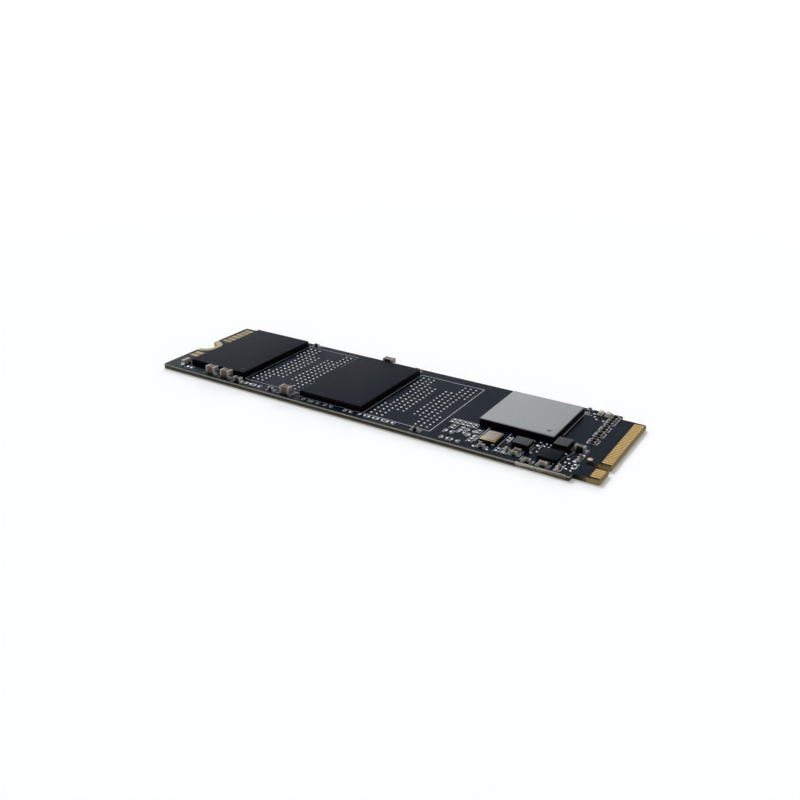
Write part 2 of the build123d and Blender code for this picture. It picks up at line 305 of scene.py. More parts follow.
def piece(mesh, name, finishes, nodes=()):
    """Makes a mesh into a piece of the card, which stands for the CAD nodes that are named."""
    bmesh.ops.recalc_face_normals(mesh, faces=mesh.faces)
    data = bpy.data.meshes.new(name)
    mesh.to_mesh(data)
    mesh.free()
    data.shade_smooth()
    data.set_sharp_from_angle(angle=crease_angle)
    for finish in finishes:
        data.materials.append(finish)
    thing = bpy.data.objects.new(name, data)
    bpy.context.scene.collection.objects.link(thing)
    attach(thing, "root")
    if nodes:
        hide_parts(*nodes)
    return thing


def round_edges(mesh, edges, radius, steps):
    """Rounds the given edges of a mesh."""
    bmesh.ops.bevel(mesh, geom=edges, offset=radius, offset_type="OFFSET", segments=steps,
                    profile=0.5, affect="EDGES", clamp_overlap=True)


def rounded(node, radius, steps):
    """A CAD node's own form, with its longer convex edges rounded."""
    mesh = welded(node)
    longer = [edge for edge in mesh.edges if edge.calc_length() > shortest_edge]
    edges = [edge for edge in longer if edge.is_convex and edge.calc_face_angle(0) > sharp_angle]
    round_edges(mesh, edges, radius, steps)
    return mesh


def cut_across(mesh, x):
    """Cuts the faces of a mesh along a line across the card, where one finish meets another."""
    bmesh.ops.bisect_plane(mesh, geom=mesh.verts[:] + mesh.edges[:] + mesh.faces[:], dist=weld_grid,
                           plane_co=(x, 0.0, 0.0), plane_no=(1.0, 0.0, 0.0))


def add_block(mesh, low, high, radius, steps):
    """Adds a block with all its edges rounded."""
    cube = bmesh.ops.create_cube(mesh, size=1)["verts"]
    for vertex in cube:
        vertex.co = Vector([low[axis] if vertex.co[axis] < 0 else high[axis] for axis in range(3)])
    edges = list({edge for vertex in cube for edge in vertex.link_edges})
    round_edges(mesh, edges, radius, steps)


def add_band(mesh, one, other):
    """Adds the faces between two closed loops of corners."""
    for k in range(len(one)):
        after = (k + 1) % len(one)
        mesh.faces.new((one[k], one[after], other[after], other[k]))


def add_shell(mesh, rings):
    """Adds a closed skin over rings of points from the lowest to the highest."""
    loops = [[mesh.verts.new(point) for point in ring] for ring in rings]
    for lower, upper in zip(loops, loops[1:]):
        add_band(mesh, lower, upper)
    mesh.faces.new(loops[0][::-1])
    mesh.faces.new(loops[-1])


def oval(middle, half_x, half_y, level, squareness, count):
    """A ring of points on a rounded outline: round at squareness 2, near a rectangle at 6."""
    ring = []
    for k in range(count):
        angle = 2 * math.pi * (k + 0.5) / count
        across = math.copysign(abs(math.cos(angle)) ** (2 / squareness), math.cos(angle))
        along = math.copysign(abs(math.sin(angle)) ** (2 / squareness), math.sin(angle))
        ring.append(Vector((middle.x + half_x * across, middle.y + half_y * along, level)))
    return ring


def add_dome(mesh, low, high, height, squareness, profile, sides):
    """Adds a round form over a box's plan, by a profile of shares of its width and height."""
    middle = (low + high) / 2
    half = (high - low) / 2
    add_shell(mesh, [oval(middle, half.x * share, half.y * share, low.z + height * rise, squareness, sides)
                     for share, rise in profile])


def add_fillet(mesh, points):
    """Adds a hollow solder fillet in place of a wedge that leans on the end of a chip."""
    low, high = box_of(points)
    ridge = [point for point in points if point.z > high.z - weld_grid]
    foot = [point for point in points if point.z < high.z - weld_grid]
    ridge_middle = sum(ridge, Vector()) / len(ridge)
    flat_middle = Vector((ridge_middle.x, ridge_middle.y, low.z))
    toe = max(foot, key=lambda point: (point - flat_middle).length)
    side = ridge[0] - ridge_middle
    run = toe - flat_middle
    run -= run.project(side)
    profile = []
    for k in range(fillet_steps + 1):
        share = k / fillet_steps
        hollow = 1 - math.sqrt(max(0.0, 1 - (1 - share) ** 2))
        rise = fillet_lip + (1 - fillet_lip) * hollow
        width = fillet_width - (fillet_width - fillet_toe_width) * share ** 2
        profile.append((run * share, rise, width))
    rings = []
    for side_share in (-1, -fillet_crown, fillet_crown, 1):
        height = fillet_side_height if abs(side_share) == 1 else 1.0
        ring = [flat_middle + run + side * side_share * fillet_toe_width]
        for out, rise, width in reversed(profile):
            level = Vector((0.0, 0.0, (high.z - low.z) * rise * height))
            ring.append(flat_middle + out + side * side_share * width + level)
        ring.append(flat_middle + side * side_share * fillet_width)
        rings.append(ring)
    add_shell(mesh, rings)


def add_stroke(mesh, points, closed=False, width=silk_width):
    """Adds a printed line on the board's upper face, with mitred corners."""
    places = [Vector((point[0], point[1])) for point in points]
    count = len(places)
    sections = []
    for k in range(count):
        before = places[k] - places[k - 1] if closed or k else None
        after = places[(k + 1) % count] - places[k] if closed or k < count - 1 else None
        first = (before or after).normalized()
        second = (after or before).normalized()
        normal = Vector((-first.y, first.x)) + Vector((-second.y, second.x))
        normal.normalize()
        reach = width / 2 / max(mitre_least, normal.dot(Vector((-first.y, first.x))))
        left = places[k] + normal * reach
        right = places[k] - normal * reach
        outline = ((left, 0), (left, silk_height), (right, silk_height), (right, 0))
        sections.append([mesh.verts.new((spot.x, spot.y, top + level)) for spot, level in outline])
    for one, other in zip(sections, sections[1:]):
        add_band(mesh, one, other)
    if closed:
        add_band(mesh, sections[-1], sections[0])
    else:
        mesh.faces.new(sections[0][::-1])
        mesh.faces.new(sections[-1])


def srgb(red, green, blue):
    """A colour given as it looks on a screen, from 0 to 255, in the shader's own values."""
    shares = [value / 255 for value in (red, green, blue)]
    return tuple(x / 12.92 if x <= 0.04045 else ((x + 0.055) / 1.055) ** 2.4 for x in shares) + (1.0,)


def colour_ramp(tree, source, stops):
    """A run of colours along a value, each colour with its place from 0 to 1."""
    ramp = tree.nodes.new("ShaderNodeValToRGB")
    elements = ramp.color_ramp.elements
    while len(elements) < len(stops):
        elements.new(0.5)
    for element, (place, colour) in zip(elements, stops):
        element.position = place
        element.color = colour
    tree.links.new(source, ramp.inputs["Fac"])
    return ramp.outputs["Color"]


class Finish:
    """A material: its shader, and short calls for the nodes that feed it."""

    def __init__(self, name, **sockets):
        self.material = bpy.data.materials.new(name)
        self.material.use_nodes = True
        self.tree = self.material.node_tree
        self.shader = self.tree.nodes["Principled BSDF"]
        for socket, value in sockets.items():
            self.shader.inputs[socket.replace("_", " ")].default_value = value

    def feed(self, source, socket):
        """Leads a value into one of the shader's sockets."""
        self.tree.links.new(source, self.shader.inputs[socket])

    def coordinates(self):
        """The object's own coordinates, which are the card's frame in metres."""
        return self.tree.nodes.new("ShaderNodeTexCoord").outputs["Object"]

    def texture(self, kind, scales):
        """A texture of the given kind, with its scale along each axis."""
        mapping = self.tree.nodes.new("ShaderNodeMapping")
        texture = self.tree.nodes.new(kind)
        mapping.inputs["Scale"].default_value = scales
        texture.inputs["Scale"].default_value = 1.0
        self.tree.links.new(self.coordinates(), mapping.inputs["Vector"])
        self.tree.links.new(mapping.outputs["Vector"], texture.inputs["Vector"])
        return texture

    def grain(self, size, detail=grain_detail, stretch=(1, 1, 1)):
        """Noise with its cell size in millimetres, drawn out along the axes by stretch."""
        texture = self.texture("ShaderNodeTexNoise", [1 / (size * MM * share) for share in stretch])
        texture.inputs["Detail"].default_value = detail
        texture.inputs["Roughness"].default_value = grain_roughness
        return texture.outputs["Fac"]

    def spots(self, pitch, radius):
        """Round spots, a loose pitch apart in millimetres: 1 on a spot and 0 between the spots."""
        texture = self.texture("ShaderNodeTexVoronoi", [1 / (pitch * MM)] * 3)
        texture.voronoi_dimensions = "2D"
        texture.inputs["Randomness"].default_value = spot_looseness
        share = radius / pitch
        return self.spread(texture.outputs["Distance"], share, spot_rim * share, 1.0, 0.0)

    def place(self, axis, low, high):
        """Where a point lies along an axis of the card, as a share from low to high."""
        split = self.tree.nodes.new("ShaderNodeSeparateXYZ")
        self.tree.links.new(self.coordinates(), split.inputs["Vector"])
        return self.spread(split.outputs[axis], low, high, 0.0, 1.0)

    def spread(self, source, low, high, start, end):
        """A value carried from one range to another."""
        scale = self.tree.nodes.new("ShaderNodeMapRange")
        for socket, value in zip(("From Min", "From Max", "To Min", "To Max"), (low, high, start, end)):
            scale.inputs[socket].default_value = value
        self.tree.links.new(source, scale.inputs["Value"])
        return scale.outputs["Result"]

    def combine(self, operation, one, other):
        """Two values joined by an operation."""
        joined = self.tree.nodes.new("ShaderNodeMath")
        joined.operation = operation
        self.tree.links.new(one, joined.inputs[0])
        self.tree.links.new(other, joined.inputs[1])
        return joined.outputs["Value"]

    def sum(self, one, other, share):
        """One value with a share of another, centred on one half, added to it."""
        return self.combine("ADD", one, self.spread(other, 0.0, 1.0, -share / 2, share / 2))

    def colour(self, source, *stops):
        """Colours the surface by a run of colours along a value."""
        self.feed(colour_ramp(self.tree, source, stops), "Base Color")

    def rough(self, source, low, high):
        """Varies the gloss between two roughness values."""
        self.feed(self.spread(source, grain_low, grain_high, low, high), "Roughness")

    def bump(self, source, depth):
        """Adds relief of the given depth, in millimetres."""
        relief = self.tree.nodes.new("ShaderNodeBump")
        relief.inputs["Distance"].default_value = depth * MM
        relief.inputs["Strength"].default_value = 1.0
        self.tree.links.new(source, relief.inputs["Height"])
        self.feed(relief.outputs["Normal"], "Normal")


def speckled(name, dark, pale, grain, rough, depth, **sockets):
    """A material whose colour, gloss and relief vary with one fine grain and one broad one."""
    finish = Finish(name, **sockets)
    fine = finish.grain(grain)
    broad = finish.grain(grain * broad_times, broad_detail)
    level = finish.sum(fine, broad, broad_share)
    finish.colour(level, (grain_low, srgb(*dark)), (grain_high, srgb(*pale)))
    finish.rough(broad, *rough)
    finish.bump(fine, depth)
    return finish.material


def laminate_edge():
    """The routed edge: glass cloth in layers, drawn out along the board, with painted shade at its foot."""
    finish = Finish("laminate_edge", Specular_IOR_Level=0.2)
    fibre = finish.grain(0.05, detail=4.0, stretch=(12, 12, 0.6))
    level = finish.sum(finish.place("Z", board_low.z, top), fibre, share=0.28)
    # Painted falloff of the light towards the screw end: the bands shift along the card
    level = finish.sum(level, finish.place("X", screw_end, contact_end), share=0.14)
    # The darker first stop is painted shade at the foot of the edge
    finish.colour(level, (0.0, srgb(74, 68, 55)), (0.12, srgb(106, 102, 88)), (0.26, srgb(92, 88, 74)),
                  (0.38, srgb(44, 39, 30)), (0.62, srgb(40, 36, 28)), (0.7, srgb(134, 131, 118)),
                  (0.88, srgb(158, 156, 144)), (1.0, srgb(112, 110, 100)))
    finish.rough(fibre, 0.6, 0.8)
    finish.bump(fibre, depth=0.02)
    return finish.material


def tongue_edge():
    """The bevelled edge of the tongue: pale resin with faint layers."""
    finish = Finish("tongue_edge", Specular_IOR_Level=0.3)
    fibre = finish.grain(0.06, detail=4.0, stretch=(10, 10, 0.6))
    level = finish.sum(finish.place("Z", board_low.z, top), fibre, share=0.4)
    finish.colour(level, (0.0, srgb(116, 98, 52)), (0.35, srgb(150, 133, 88)), (0.6, srgb(145, 128, 84)),
                  (0.9, srgb(134, 115, 68)))
    finish.rough(fibre, 0.5, 0.7)
    finish.bump(fibre, depth=0.012)
    return finish.material


def darkened_tongue_edge():
    """The tongue's edge beside the mask: dark with painted shade, then paler to where the bare laminate
    starts.
    """
    finish = Finish("dark_tongue_side", Specular_IOR_Level=0.15)
    grain = finish.grain(0.06)
    along = finish.sum(finish.place("X", mask_end - side_fade, mask_end), grain, share=0.2)
    # The dark stop is painted shade, like the shade deep in the key notch
    finish.colour(along, (0.05, srgb(14, 17, 18)), (0.55, srgb(52, 48, 36)), (0.95, srgb(104, 90, 58)))
    finish.rough(grain, 0.5, 0.65)
    finish.bump(grain, depth=0.008)
    return finish.material


def torn_glass(start, end):
    """Broken glass fibre and resin at the snapped tab, darker from its start to its end."""
    finish = Finish("torn_laminate", Specular_IOR_Level=0.3)
    fibre = finish.grain(0.05, detail=5.0, stretch=(3, 3, 1))
    broad = finish.grain(0.5, stretch=(1.5, 1.5, 0.6))
    level = finish.sum(finish.place("Z", board_low.z, top), broad, share=0.7)
    level = finish.sum(level, finish.place("X", end, start), share=0.4)
    level = finish.sum(level, fibre, share=0.4)
    finish.colour(level, (0.1, srgb(72, 65, 50)), (0.35, srgb(112, 105, 88)), (0.5, srgb(102, 95, 78)),
                  (0.66, srgb(166, 161, 145)), (0.95, srgb(196, 192, 178)))
    finish.rough(fibre, 0.6, 0.85)
    finish.bump(fibre, depth=0.02)
    return finish.material


def printed_ink():
    """White ink, dimmer towards the screw end: painted falloff of the light there."""
    finish = Finish("silk_ink", Specular_IOR_Level=0.2)
    fine = finish.grain(0.03)
    # Dimmer towards the screw end: painted shade
    cover = finish.sum(fine, finish.place("X", screw_end, contact_end), share=0.6)
    finish.colour(cover, (grain_low, srgb(136, 139, 148)), (grain_high, srgb(200, 203, 206)))
    finish.rough(fine, 0.55, 0.7)
    finish.bump(fine, depth=0.006)
    return finish.material


def under_mask():
    """The mask on the lower face, over the joints that pass through the board."""
    finish = Finish("under_mask", Specular_IOR_Level=0.25)
    broad = finish.grain(0.6)
    joints = finish.spots(pitch=1.5, radius=0.2)
    level = finish.sum(broad, joints, share=0.4)
    finish.colour(level, (grain_low, srgb(1, 11, 24)), (grain_high, srgb(6, 23, 40)))
    finish.rough(broad, 0.20, 0.27)
    finish.bump(joints, depth=0.01)
    return finish.material


def stage_white():
    """Matt white that keeps its shadows, and is lifted to the photograph's white away from the card."""
    finish = Finish("white_floor", Specular_IOR_Level=0.0, Roughness=1.0)
    grain = finish.grain(floor_grain, broad_detail)
    finish.colour(grain, (grain_low, floor_dark), (grain_high, floor_pale))
    path = finish.tree.nodes.new("ShaderNodeLightPath")
    seen = path.outputs["Is Camera Ray"]
    for ray in ("Is Glossy Ray", "Is Transmission Ray"):
        seen = finish.combine("MAXIMUM", seen, path.outputs[ray])
    reach = finish.tree.nodes.new("ShaderNodeVectorMath")
    reach.operation = "LENGTH"
    finish.tree.links.new(finish.coordinates(), reach.inputs[0])
    lift = finish.spread(reach.outputs["Value"], lift_start, floor_flat, floor_lift, backdrop_lift)
    finish.shader.inputs["Emission Color"].default_value = (1.0, 1.0, 1.0, 1.0)
    finish.feed(finish.combine("MULTIPLY", lift, seen), "Emission Strength")
    return finish.material


# Finishes: dark and pale colour, size of the grain and depth of the relief in millimetres, and roughness
mask = speckled("solder_mask", (1, 11, 24), (4, 19, 34), grain=0.6, rough=(0.20, 0.27), depth=0.002,
                Specular_IOR_Level=0.25)
moulding = speckled("mould_compound", (21, 25, 33), (31, 35, 44), grain=0.05, rough=(0.44, 0.52),
                    depth=0.002, Specular_IOR_Level=0.025)
power_moulding = speckled("power_moulding", (6, 16, 18), (11, 23, 26), grain=0.05, rough=(0.4, 0.5),
                          depth=0.005, Specular_IOR_Level=0.07)
# A near-black copy of the mould compound for the packages' sides: painted shade
shaded_package_side = speckled("shaded_moulding", (1, 1, 3), (4, 4, 7), grain=0.05, rough=(0.45, 0.6),
                     depth=0.006, Specular_IOR_Level=0.05)
mark_sunk = speckled("mould_mark", (18, 21, 26), (28, 31, 37), grain=0.03, rough=(0.30, 0.38),
                     depth=0.002, Specular_IOR_Level=0.1)
# Lit and shaded copies of the inductors' compound: a lighter top with painted sheen, near-black sides with
# painted shade
core_powder = speckled("inductor_moulding", (52, 56, 58), (80, 83, 84), grain=0.035, rough=(0.60, 0.72),
                       depth=0.010, Specular_IOR_Level=0.2)
shaded_core_side = speckled("inductor_shaded_side", (3, 3, 3), (9, 9, 9), grain=0.035, rough=(0.60, 0.72),
                     depth=0.010, Specular_IOR_Level=0.06)
lid_metal = speckled("lid_nickel", (144, 147, 148), (158, 161, 161), grain=0.03, rough=(0.46, 0.54),
                     depth=0.001, Metallic=0.08, Specular_IOR_Level=0.25)
lid_mark = speckled("lid_mark", (70, 70, 72), (92, 92, 92), grain=0.02, rough=(0.5, 0.6), depth=0.002)
gold = speckled("contact_gold", (234, 192, 116), (248, 211, 140), grain=0.08, rough=(0.28, 0.38),
                depth=0.003, Metallic=0.5)
end_gold = speckled("end_pad_gold", (140, 126, 92), (164, 149, 112), grain=0.1, rough=(0.30, 0.40),
                    depth=0.001, Metallic=0.3, Specular_IOR_Level=0.2)
ring_gold = speckled("ring_gold", (150, 144, 104), (174, 168, 124), grain=0.1, rough=(0.30, 0.40),
                     depth=0.001, Metallic=0.3, Specular_IOR_Level=0.2)
dot_gold = speckled("dot_gold", (206, 196, 156), (226, 217, 178), grain=0.1, rough=(0.34, 0.46),
                    depth=0.004, Metallic=0.5)
tin = speckled("solder_tin", (170, 172, 175), (200, 202, 203), grain=0.06, rough=(0.24, 0.34),
               depth=0.006, Metallic=0.9)
# Dark tin; on the bare lands' skirts it is a painted dark reflection
land_tin = speckled("land_tin", (16, 18, 22), (34, 37, 42), grain=0.06, rough=(0.3, 0.42),
                    depth=0.008, Metallic=0.3)
# Near-white tin: a painted highlight on the solder crowns and test points
highlight_tin = speckled("highlight_tin", (232, 233, 234), (246, 246, 246), grain=0.06, rough=(0.2, 0.3),
                     depth=0.003, Metallic=0.25)
# Dimmer highlight tin: painted shade on a row of crowns by the second memory package
shaded_highlight_tin = speckled("shaded_highlight_tin", (112, 114, 118), (142, 144, 147), grain=0.06, rough=(0.28, 0.38),
                     depth=0.003, Metallic=0.25)
pad_tin = speckled("pad_tin", (200, 202, 204), (218, 219, 220), grain=0.06, rough=(0.28, 0.38),
                   depth=0.002, Metallic=0.45)
small_end_tin = speckled("small_end_tin", (146, 145, 139), (184, 182, 176), grain=0.05, rough=(0.3, 0.42),
                         depth=0.010, Metallic=0.6)
small_ceramic = speckled("small_ceramic", (106, 95, 86), (138, 126, 115), grain=0.04, rough=(0.42, 0.55),
                         depth=0.006, Specular_IOR_Level=0.3)
# A paler top for a dark chip: painted light from above
lit_top = speckled("lit_chip_top", (84, 80, 70), (112, 107, 95), grain=0.04, rough=(0.42, 0.55),
                    depth=0.006, Specular_IOR_Level=0.3)
end_tin = speckled("end_cap_tin", (128, 126, 118), (152, 150, 141), grain=0.05, rough=(0.36, 0.48),
                   depth=0.008, Metallic=0.15)
dull_tin = speckled("dull_end_tin", (144, 138, 128), (176, 169, 158), grain=0.05, rough=(0.3, 0.45),
                    depth=0.010, Metallic=0.3)
dielectric = speckled("capacitor_ceramic", (74, 63, 51), (103, 90, 75), grain=0.04, rough=(0.45, 0.6),
                      depth=0.006, Specular_IOR_Level=0.3)
pale_ceramic = speckled("pale_ceramic", (148, 132, 116), (176, 159, 142), grain=0.04, rough=(0.42, 0.55),
                        depth=0.006, Specular_IOR_Level=0.3)
chip_body = speckled("chip_ceramic", (9, 9, 9), (20, 19, 18), grain=0.04, rough=(0.4, 0.55),
                     depth=0.005, Specular_IOR_Level=0.25)
crystal_ceramic = speckled("crystal_ceramic", (10, 10, 10), (18, 17, 17), grain=0.04, rough=(0.45, 0.6),
                           depth=0.005, Specular_IOR_Level=0.2)
crystal_cover = speckled("crystal_cover", (155, 144, 137), (179, 168, 161), grain=0.05, rough=(0.36, 0.46),
                         depth=0.004, Metallic=0.5)
seal_gold = speckled("seal_gold", (196, 172, 104), (220, 197, 132), grain=0.05, rough=(0.3, 0.4),
                     depth=0.004, Metallic=0.85)
lamp_base = speckled("lamp_base", (196, 190, 174), (216, 211, 196), grain=0.05, rough=(0.45, 0.55),
                     depth=0.004)
lamp_lens = speckled("lamp_lens", (206, 200, 178), (224, 218, 198), grain=0.08, rough=(0.15, 0.24),
                     depth=0.003, Coat_Weight=0.4)
bare = speckled("bare_laminate", (42, 28, 8), (62, 44, 18), grain=0.05, rough=(0.5, 0.62),
                depth=0.006, Specular_IOR_Level=0.2)
plated_wall = speckled("plated_wall", (138, 124, 78), (164, 150, 102), grain=0.06, rough=(0.32, 0.45),
                       depth=0.008, Metallic=0.6)
silk_ink = printed_ink()
mask_below = under_mask()
routed_edge = laminate_edge()
tongue_side = tongue_edge()
dark_tongue_side = darkened_tongue_edge()


def board_finish(face):
    """The finish of one face of the board."""
    middle = face.calc_center_median()
    radius = (middle.xy - screw_middle.xy).length
    if abs(face.normal.z) > flat_slope:
        under_pad = radius < screw_pad_radius and abs(middle.z - top / 2) < top / 2 - sunk_least
        if middle.x > bare_from or under_pad:
            return bare
        return mask if face.normal.z > 0 else mask_below
    if radius < screw_pad_radius * recess_share:
        return plated_wall
    if middle.x > shoulder + shoulder_clear:
        return tongue_side if middle.x > mask_end else dark_tongue_side
    return routed_edge


def dress_board():
    """The board with its mask, routed edges, bare tongue and plated recess."""
    mesh = welded("board")
    cut_across(mesh, mask_end)
    cut_across(mesh, bare_from)
    bmesh.ops.triangulate(mesh, faces=mesh.faces)
    finishes = (mask, routed_edge, bare, tongue_side, plated_wall, dark_tongue_side, mask_below)
    for face in mesh.faces:
        face.material_index = finishes.index(board_finish(face))
    piece(mesh, "board_laminate", finishes, ["board"])


def ragged(x, z, waves, layer):
    """Noise over the snapped face, by its waves along and up in a millimetre."""
    return noise.noise(Vector((x / MM * waves[0], layer, z / MM * waves[1])))


def tab_break():
    """The rough stub that is left where the card was snapped out of its panel."""
    mesh = welded("board")
    floor = [vertex.co.copy() for vertex in mesh.verts
             if near_edge + tab_shallow < vertex.co.y < near_edge + tab_deep
             and 0 < vertex.co.x < shoulder - tab_clear]
    mesh.free()
    low, high = box_of(floor)
    depth = low.y - near_edge
    mesh = bmesh.new()
    grid = []
    for column in range(stub_columns + 1):
        x = low.x + (high.x - low.x) * column / stub_columns
        ends = max(0.0, 1 - min(column, stub_columns - column) / end_columns)
        strip = []
        for row in range(stub_rows + 1):
            z = board_low.z + (top - board_low.z) * (stub_inset + (1 - 2 * stub_inset) * row / stub_rows)
            coarse = coarse_share * ragged(x, z, coarse_waves, coarse_layer)
            fine = fine_share * ragged(x, z, fine_waves, fine_layer)
            out = depth * min(stub_most, max(stub_least, stub_mean + coarse + fine) + ends)
            strip.append(mesh.verts.new((x, low.y - out, z)))
        grid.append(strip)
    for left, right in zip(grid, grid[1:]):
        for row in range(stub_rows):
            mesh.faces.new((left[row], right[row], right[row + 1], left[row + 1]))
    rim = [strip[0] for strip in grid]
    rim += grid[-1][1:]
    rim += [strip[-1] for strip in grid[-2::-1]]
    rim += grid[0][-2:0:-1]
    back = [mesh.verts.new((vertex.co.x, low.y + stub_root, vertex.co.z)) for vertex in rim]
    add_band(mesh, rim, back)
    mesh.faces.new(back)
    piece(mesh, "tab_break", (torn_glass(low.x, high.x),))


def dress_packages():
    """Moulded packages and the controller's lid, with soft edges and a sunk first-pin mark; most sides have
    painted shade.
    """
    # CAD node, radius of its edges in millimetres, slot, and the finishes of the top, sides and mark
    packages = (
        ("memory_package_1", 0.04, "moulding", moulding, shaded_package_side, mark_sunk),
        ("memory_package_2", 0.04, "moulding", moulding, shaded_package_side, mark_sunk),
        ("power_chip_package", 0.03, "moulding", power_moulding, shaded_package_side, power_moulding),
        ("controller_lid", 0.05, "lid", lid_metal, lid_metal, lid_mark),
        ("controller_package", 0.03, "substrate", shaded_package_side, shaded_package_side, shaded_package_side),
        ("inductor_1_core", 0.06, "inductor_core", core_powder, shaded_core_side, core_powder),
        ("inductor_2_core", 0.06, "inductor_core", core_powder, shaded_core_side, core_powder),
    )
    for node, radius, slot, *finishes in packages:
        mesh = rounded(node, radius * MM, package_steps)
        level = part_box(node)[1].z
        for face in mesh.faces:
            sunk = level - mark_deep < face.calc_center_median().z < level - mark_shallow
            if face.normal.z < top_slope:
                face.material_index = 1
            elif sunk and face.normal.z > level_slope:
                face.material_index = 2
        piece(mesh, f"{node}_body", finishes, [node])


def dress_blocks(node, finish, radius, steps=block_steps):
    """Each solid of a node as a block, with the radius of its rounded edges in millimetres."""
    mesh = bmesh.new()
    for low, high in boxes(node):
        add_block(mesh, low, high, radius * MM, steps)
    return piece(mesh, f"{node}_body", (finish,), [node])


def dress_top(thing, finish):
    """A second finish on the upper faces of a piece."""
    thing.data.materials.append(finish)
    for polygon in thing.data.polygons:
        polygon.material_index = 1 if polygon.normal.z > top_slope else 0


def dress_capacitors():
    """The chip capacitors, each with the finishes that the photograph shows."""
    bulk_bodies = (dielectric, dielectric, dielectric, chip_body)
    filter_bodies = (pale_ceramic, chip_body, small_ceramic, chip_body)
    filter_ends = (end_tin, end_tin, small_end_tin, small_end_tin)
    for k in range(capacitor_count):
        bulk = f"bulk_capacitor_{k + 1}"
        smaller = f"filter_capacitor_{k + 1}"
        bulk_body = dress_blocks(f"{bulk}_ceramic", bulk_bodies[k], 0.05)
        dress_blocks(f"{bulk}_end_caps", end_tin, 0.09)
        filter_body = dress_blocks(f"{smaller}_ceramic", filter_bodies[k], 0.04)
        dress_blocks(f"{smaller}_end_caps", filter_ends[k], 0.07)
    # The last of each kind is dark with a paler top: the last bulk capacitor's dark sides are painted
    # shade, and the last filter capacitor's paler top is painted light
    dress_top(bulk_body, small_ceramic)
    dress_top(filter_body, lit_top)

    small_bodies = dress_blocks("small_capacitors_ceramic", small_ceramic, 0.03)
    small_bodies.data.materials.append(chip_body)
    power_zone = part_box("crystal_base")[0].x
    for polygon in small_bodies.data.polygons:
        by_memory = polygon.center.x < power_zone or polygon.center.y > 0
        by_shoulder = polygon.center.x > shoulder - shoulder_zone
        polygon.material_index = 1 if by_memory or by_shoulder else 0
    dress_blocks("small_capacitors_end_caps", small_end_tin, 0.05)
    dress_blocks("coupling_capacitors_ceramic", chip_body, 0.03)
    dress_blocks("coupling_capacitors_end_caps", dull_tin, 0.04)


def dress_small_parts():
    """The crystal, the inductors' terminals, the lamps and the power chip's leads."""
    dress_blocks("crystal_base", crystal_ceramic, 0.05)
    dress_blocks("crystal_lid", crystal_cover, 0.04)
    dress_blocks("crystal_terminals", tin, 0.06)
    for number, inductor_end in enumerate((tin, land_tin), 1):
        dress_blocks(f"inductor_{number}_terminals", inductor_end, 0.025)
        dress_blocks(f"lamp_{number}_base", lamp_base, 0.03)
        dress_blocks(f"lamp_{number}_lens", lamp_lens, 0.16, lens_steps)
        dress_blocks(f"lamp_{number}_terminals", tin, 0.06)
    dress_blocks("power_chip_leads", tin, 0.04)
    seal = rounded("crystal_seal_ring", seal_radius, seal_steps)
    piece(seal, "crystal_seal_ring_body", (seal_gold,), ["crystal_seal_ring"])


def dress_contacts():
    """The gold contacts with the mask over their inner ends, and the gold pads at the other end."""
    for node in ("contact_fingers_top", "contact_fingers_bottom"):
        mesh = rounded(node, plate_radius, plate_steps)
        cut_across(mesh, mask_end + mask_lap)
        for face in mesh.faces:
            face.material_index = 1 if face.calc_center_median().x < mask_end + mask_lap else 0
        piece(mesh, f"{node}_body", (gold, mask), [node])
    pads = rounded("end_pads", plate_radius, plate_steps)
    piece(pads, "end_pads_body", (end_gold,), ["end_pads"])


def dress_domes(node, rise, squareness, profile, finish, crown=0.0):
    """Each pad of a node as a drop of solder; below the share of its height called its crown, a painted
    dark reflection.
    """
    mesh = bmesh.new()
    for low, high in boxes(node):
        add_dome(mesh, low, high, (high.z - low.z) * rise, squareness, profile, drop_sides)
    node_low, node_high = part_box(node)
    crown_level = node_low.z + (node_high.z - node_low.z) * rise * crown
    for face in mesh.faces:
        face.material_index = 0 if face.calc_center_median().z > crown_level else 1
    return piece(mesh, f"{node}_solder", (finish, land_tin), [node])


def dress_pads():
    """Solder on the empty places, the test points and the bare lands, with painted shade on one row of
    lands.
    """
    dress_domes("empty_place_1_pads", field_rise, round_plan, drop_profile, pad_tin)
    dress_domes("empty_place_2_pads", field_rise, round_plan, drop_profile, pad_tin)
    dress_domes("test_points", land_rise, round_plan, drop_profile, highlight_tin)
    lands = dress_domes("spare_lands", land_rise, land_plan, land_profile, highlight_tin, land_crown)
    # The crowns along the second memory package get painted shade
    lands.data.materials.append(shaded_highlight_tin)
    for polygon in lands.data.polygons:
        in_row = strip_start < polygon.center.x < strip_end - bright_length
        if polygon.material_index == 0 and in_row:
            polygon.material_index = 2


def dress_toes():
    """Hollow solder fillets at the ends of the chips, dull by the coupling chips."""
    mesh = bmesh.new()
    for points in islands("solder_toes"):
        add_fillet(mesh, points)
    row_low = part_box("coupling_capacitors_ceramic")[0]
    for face in mesh.faces:
        middle = face.calc_center_median()
        face.material_index = 1 if middle.x > row_low.x - toe_reach and middle.y > row_low.y else 0
    piece(mesh, "solder_toes_fillets", (tin, land_tin), ["solder_toes"])


def dress_dot():
    """The flat gold dot that the placing machine looks for."""
    mesh = bmesh.new()
    low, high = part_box("alignment_dot")
    add_dome(mesh, low, high, high.z - low.z, round_plan, dot_profile, dot_sides)
    piece(mesh, "alignment_dot_body", (dot_gold,), ["alignment_dot"])


def dress_screw_pad():
    """The plated pad keeps its CAD form and gets its own finish."""
    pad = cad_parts["screw_pad"]
    pad.data.materials.clear()
    pad.data.materials.append(ring_gold)


def held(x, y):
    """A place on the board, held clear of its edges."""
    return (min(max(x, screw_end + edge_clear), shoulder - edge_clear),
            min(max(y, near_edge + edge_clear), far_edge - edge_clear))


